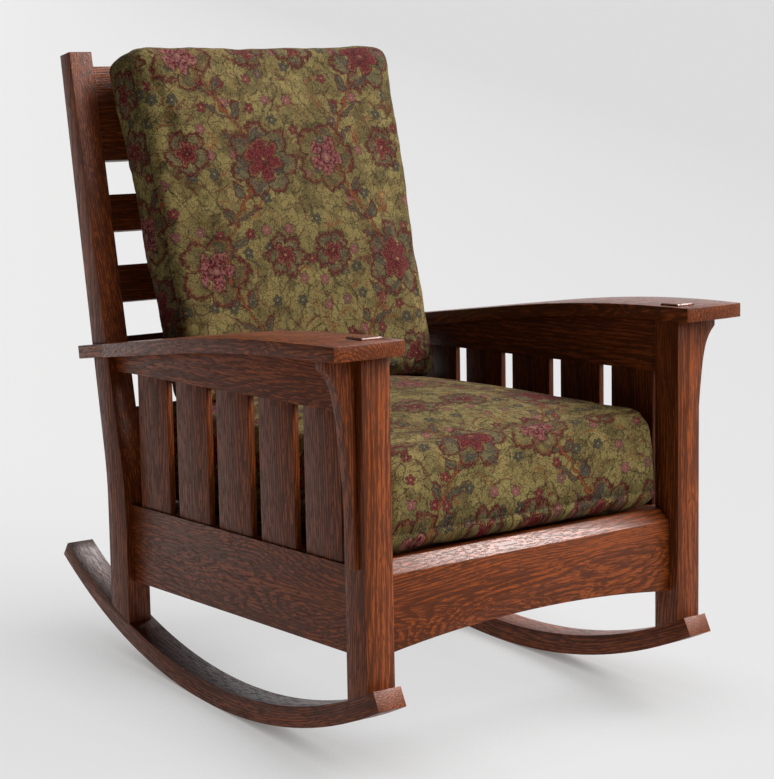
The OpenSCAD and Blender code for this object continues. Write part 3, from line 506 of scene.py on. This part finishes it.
for side, sign in (("left_", -1), ("right_", 1)):
    shaped(side + "front_post", UP, ACROSS, (0.04 * sign, 0.09, 0.02), ring=0.0036)
    shaped(side + "rear_post", UP + RAKED * 0.6, SIDE, (0.02, 0.12 * sign, 0.01), ring=0.0038)
    shaped(side + "arm", SIDE - UP * 0.12, ACROSS, (0.05 * sign, 0.03, 0.05), ring=0.0050,
           wander=0.014)
    shaped(side + "corbel", UP, SIDE, (0.03, 0.06, 0.02))
    shaped(side + "lower_rail", SIDE, UP, (-0.01, 0.020 * sign, 0.06), ring=0.0048, wander=0.014)
    shaped(side + "upper_rail", SIDE, UP, (-0.04, 0.05 * sign, 0.03), ring=0.0040)
    for count in range(1, SIDE_SLATS + 1):
        shaped(f"{side}slat_{count}", UP, SIDE, (0.01 * count - 0.05, 0.035, 0.04), ring=0.0040,
               tone=0.92)
    runner = side + "runner"
    centre = Vector((middle(runner).x, 0, 0)) + stood(0, RUNNER_CENTRE, RUNNER_RADIUS)
    eased(runner, oak("oak_" + runner, (0, 1, 0), (0, 0, 1), centre, (0.05, 0.02 * sign, 0.0),
                      ring=0.0040, curved=True))
    plain(side + "cleat", SIDE, UP, (0.05, 0.05, 0))
    plain(side + "corner_block", ACROSS, UP, (0.05, 0.05, 0))

shaped("front_rail", ACROSS, UP, (-0.03, 0.018, 0.10), ring=0.0050, wander=0.016)
shaped("rear_seat_rail", ACROSS, UP, (-0.05, 0.03, 0.03))
shaped("back_top_rail", ACROSS, RAKED, (-0.02, 0.03, 0.05))
for count in range(1, BACK_SLATS + 1):
    shaped(f"back_slat_{count}", ACROSS, RAKED, (0.04, 0.03 * count, 0.03), tone=0.95)
plain("front_cleat", ACROSS, UP, (0.05, 0.05, 0))
for count in range(1, SEAT_SLATS + 1):
    plain(f"seat_slat_{count}", ACROSS, SIDE, (0.03 * count - 0.1, 0.05, 0.02), tone=1.15)
screws = steel()
for group in ("runner_screws", "cleat_screws", "seat_slat_screws"):
    nodes[group].data.materials[0] = screws


# ---- the cushions ----

VOXEL = 0.0066
CLEAR = 0.0008          # left between a cover and the wood beside it
SWELL_LIMIT = 0.008
SWELL_PRESSURE = 4.0
SWELL_FRAMES = 20
PINNED = 0.004          # how near a seam the cover is held
FULLNESS = 0.0025       # by which the filling pushes the cover out all over
# How wide the painted shade line along a seam is.
SEAM_SHADE_WIDTH = 0.0014
END_PANEL, SIDE_PANEL = 0.4, (0.3, 0.2)    # where in the cloth these panels are cut


def skin_of(node, name):
    """The outer surface of a cushion, smoothed, as one closed mesh of small even faces."""
    piece = clean_copy(node, name)
    bpy.ops.object.mode_set(mode="EDIT")
    bpy.ops.mesh.select_all(action="SELECT")
    bpy.ops.mesh.separate(type="LOOSE")
    bpy.ops.object.mode_set(mode="OBJECT")
    shells = sorted(bpy.context.selected_objects, key=lambda s: s.dimensions.length)
    piece = shells.pop()
    for inner in shells:
        bpy.data.objects.remove(inner)
    piece.name = name
    only(piece)
    piece.data.remesh_voxel_size = VOXEL
    bpy.ops.object.voxel_remesh()
    ease = piece.modifiers.new("Ease", "SMOOTH")
    ease.factor, ease.iterations = 0.5, 8
    bpy.ops.object.modifier_apply(modifier=ease.name)
    return piece


def solid_tree(mesh):
    """For finding how near a point is to a piece."""
    verts = [v.co.copy() for v in mesh.vertices]
    return BVHTree.FromPolygons(verts, [tuple(f.vertices) for f in mesh.polygons])


def swell(piece, neighbours, seam_gap):
    """Blows the cover up as its filling does. No point moves further than SWELL_LIMIT, nor into
    a neighbour. Points near the seam that seam_gap measures from stay put."""
    start = [v.co.copy() for v in piece.data.vertices]
    outward = [v.normal.copy() for v in piece.data.vertices]
    facing = piece.data.attributes.new("facing", "FLOAT_VECTOR", "POINT")
    for vertex, out in zip(piece.data.vertices, outward):
        facing.data[vertex.index].vector = out
    group = piece.vertex_groups.new(name="seam")
    held = [v.index for v in piece.data.vertices if abs(seam_gap(v.co)) < PINNED]
    group.add(held, 1.0, "REPLACE")
    blown = piece.modifiers.new("Swell", "CLOTH")
    blown.settings.quality = 6
    blown.settings.mass = 0.25
    blown.settings.tension_stiffness = 12
    blown.settings.compression_stiffness = 8
    blown.settings.bending_stiffness = 0.6
    blown.settings.use_pressure = True
    blown.settings.uniform_pressure_force = SWELL_PRESSURE
    blown.settings.shrink_min = -0.022
    blown.settings.vertex_group_mass = group.name
    blown.settings.effector_weights.gravity = 0
    blown.collision_settings.use_collision = False
    blown.point_cache.frame_start, blown.point_cache.frame_end = 1, SWELL_FRAMES
    for count in range(1, SWELL_FRAMES + 1):
        scene.frame_set(count)
    shown = piece.evaluated_get(bpy.context.evaluated_depsgraph_get())
    end = [v.co.copy() for v in shown.data.vertices]
    piece.modifiers.remove(blown)
    piece.vertex_groups.clear()
    scene.frame_set(1)
    for vertex, was, now, out in zip(piece.data.vertices, start, end, outward):
        step = now - was
        ripple = noise.noise(was * 16) * 0.0035 + noise.noise(was * 48) * 0.0012
        step += out * (max(-step.dot(out), 0) + FULLNESS + ripple)
        room = SWELL_LIMIT
        for tree in neighbours:
            spot, _, _, distance = tree.find_nearest(was, SWELL_LIMIT + CLEAR)
            if spot is not None:
                room = min(room, max(distance - CLEAR, 0))
        if step.length > room:
            step = step.normalized() * room
        vertex.co = was + step
    only(piece)
    finer = piece.modifiers.new("Finer", "SUBSURF")
    finer.levels = finer.render_levels = 1
    bpy.ops.object.modifier_apply(modifier=finer.name)


def sew(piece, seam_at, draw_in, reach):
    """Draws the cover in along its seams, by draw_in at the stitching and less out to reach, and
    marks the lines of stitching, where the cloth gets a painted shade line."""
    mark = piece.data.attributes.new("seam", "FLOAT", "POINT")
    normals = [v.normal.copy() for v in piece.data.vertices]
    facing = piece.data.attributes["facing"].data
    for vertex, normal in zip(piece.data.vertices, normals):
        gap = seam_at(vertex.co, facing[vertex.index].vector)
        pucker = 1 + 0.5 * noise.noise(vertex.co * 70)
        depth = math.exp(-(gap / reach) ** 2)
        mark.data[vertex.index].value = math.exp(-(gap / SEAM_SHADE_WIDTH) ** 2)
        vertex.co -= normal * draw_in * depth * pucker


def lay_cloth(piece, across, along, out, origin, crown, waterfall):
    """Unrolls the cover panel by panel. The crown is one panel, which runs on down the front
    and back where waterfall is true, and each side is a panel of its own."""
    mesh = piece.data
    flat = mesh.attributes.new("cloth", "FLOAT_VECTOR", "CORNER")
    facing = mesh.attributes["facing"].data
    spots = []
    for vertex in mesh.vertices:
        place, way = vertex.co - origin, facing[vertex.index].vector
        spots.append((place.dot(across), place.dot(along), crown - vertex.co.dot(out),
                      way.dot(across), way.dot(along), way.dot(out)))
    for face in mesh.polygons:
        to_side, to_end, to_crown = (sum(spots[i][k] for i in face.vertices) for k in (3, 4, 5))
        end_face = abs(to_end) > abs(to_side)
        level = abs(to_crown) > 0.75 * math.hypot(to_side, to_end)
        for loop, i in zip(face.loop_indices, face.vertices):
            u, v, drop, way_u, way_v, _ = spots[i]
            if waterfall and end_face:
                steep = min(math.hypot(way_u, way_v) * 2, 1)
                spot = (u, v + math.copysign(drop * steep, to_end), 0)
            elif level:
                spot = (u, v, 0)
            elif end_face:
                spot = (u, drop + END_PANEL, 0)
            else:
                spot = (v + SIDE_PANEL[0], drop + SIDE_PANEL[1], 0)
            flat.data[loop].vector = spot


def dressed(piece, cushion, finish):
    """The finished cover, which rides and stands for the cushion of that name."""
    piece.data.materials.clear()
    piece.data.materials.append(finish)
    only(piece)
    bpy.ops.object.shade_smooth()
    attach(piece, cushion)
    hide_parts(cushion)


woodwork = [solid_tree(o.data) for name, o in nodes.items() if "cushion" not in name]

# The seat cushion has one seam low down and one up each front and back corner.
seat = skin_of("seat_cushion", "seat_cushion_cover")
seat_low, seat_high = (Vector(c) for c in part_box("seat_cushion"))
seat_origin = Vector((0, (seat_low.y + seat_high.y) / 2, 0))
seam_height = stood(0, 0, 0.296).dot(UP)
SEAT_CORNER = 0.013


def above_low_seam(place):
    return place.dot(UP) - seam_height


def seat_seam(place, facing):
    """Distance to the nearest seam: the low one, or a corner between front and side."""
    corner = (abs(facing.dot(ACROSS)) - abs(facing.dot(SIDE))) * SEAT_CORNER
    low = above_low_seam(place)
    steep = math.hypot(facing.dot(ACROSS), facing.dot(SIDE))
    if steep < 0.6 or low < 0:
        return low
    return corner if abs(corner) < abs(low) else low


swell(seat, woodwork, above_low_seam)
sew(seat, seat_seam, 0.0035, 0.007)
lay_cloth(seat, ACROSS, SIDE, UP, seat_origin, seat_high.dot(UP), True)
dressed(seat, "seat_cushion", tapestry("tapestry_seat", (0.03, 0.11)))

# The back cushion leans on the back slats; its seams run round its front and near its back.
back = skin_of("back_cushion", "back_cushion_cover")
back_up = TILT @ Matrix.Rotation(-math.radians(15), 3, "X") @ Vector((0, 0, 1))
back_out = Vector((-1, 0, 0)).cross(back_up)
back_origin = middle("back_cushion")
BACK_EDGE = 0.016
BACK_SEAM_DEPTH = 0.030
FRONT_PANEL_DEPTH = 0.06


def before_back_seam(place):
    return (place - back_origin).dot(back_out) + BACK_SEAM_DEPTH


def back_seam(place, facing):
    """Distance to the nearest seam: the one near the back, or the edge of the front panel."""
    near_back = before_back_seam(place)
    front = (facing.dot(back_out) - 0.6) * BACK_EDGE
    return front if abs(front) < abs(near_back) else near_back


swell(back, woodwork + [solid_tree(seat.data)], before_back_seam)
sew(back, back_seam, 0.0025, 0.005)
lay_cloth(back, ACROSS, back_up, back_out, back_origin,
          back_origin.dot(back_out) + FRONT_PANEL_DEPTH, False)
dressed(back, "back_cushion", tapestry("tapestry_back", (0.0, 0.0)))


# ---- floor, light and camera ----

bpy.ops.mesh.primitive_plane_add(size=160, location=(0, 0, 0))
floor = bpy.context.object
floor.name = "floor"
floor.data.materials.append(backdrop())

# A studio that is dim all round, and bright behind the chair and to its right
studio = Paint("studio", "worlds")
x, y, z = studio.split(studio.node("ShaderNodeTexCoord"))
behind = (y * 0.6 + x * 0.6 - 0.3).rises(0.6) * (0.5 - abs(z)).rises(0.5)
glow = studio.node("ShaderNodeBackground", None, Color=(0.97, 0.98, 1.0, 1),
                   Strength=behind * 0.95 + 0.04)
studio.node("ShaderNodeOutputWorld", None, Surface=glow)
scene.world = studio.material


def lamp(name, aim, strength, spread, colour):
    """Light from one direction, from a source as wide as spread degrees."""
    light = bpy.data.lights.new(name, "SUN")
    light.energy, light.angle, light.color = strength, math.radians(spread), colour
    holder = bpy.data.objects.new(name, light)
    holder.rotation_euler = Vector(aim).to_track_quat("Z", "Y").to_euler()
    scene.collection.objects.link(holder)
    return holder


lamp("front_softbox", (0.44, -0.63, 0.64), 2.95, 48, (1.0, 0.98, 0.96))
lamp("overhead_softbox", (0.60, -0.17, 0.78), 2.7, 26, (1.0, 0.97, 0.96))
# A white card that only shows as a shine in the polish.
card = lamp("shine_card", (0.60, -0.04, 0.80), 13.0, 44, (1.0, 0.96, 0.95))
card.visible_diffuse = False

# The camera, measured from the upright chair
CAMERA_PLACE = (-1.92476, -2.09922, 0.86733)
YAW, PITCH, ROLL = math.radians(-38.305), math.radians(-7.962), math.radians(-1.037)
FOCAL_LENGTH, PICTURE_WIDTH = 2120.13, 774    # both in pixels
SENSOR = 36

ahead = Vector((-math.sin(YAW) * math.cos(PITCH), math.cos(YAW) * math.cos(PITCH), math.sin(PITCH)))
right = Vector((math.cos(YAW), math.sin(YAW), 0))
upward = right.cross(ahead)
level = right * math.cos(ROLL) + upward * math.sin(ROLL)
upright = upward * math.cos(ROLL) - right * math.sin(ROLL)
turned = Matrix([TILT @ level, TILT @ upright, TILT @ -ahead]).transposed()

camera_data = bpy.data.cameras.new("camera")
camera_data.sensor_fit = "HORIZONTAL"
camera_data.sensor_width = SENSOR
camera_data.lens = SENSOR * FOCAL_LENGTH / PICTURE_WIDTH
camera_data.clip_start, camera_data.clip_end = 0.05, 300
camera = bpy.data.objects.new("camera", camera_data)
camera.matrix_world = Matrix.Translation(stood(*CAMERA_PLACE)) @ turned.to_4x4()
scene.collection.objects.link(camera)
scene.camera = camera

scene.view_settings.view_transform = "Standard"
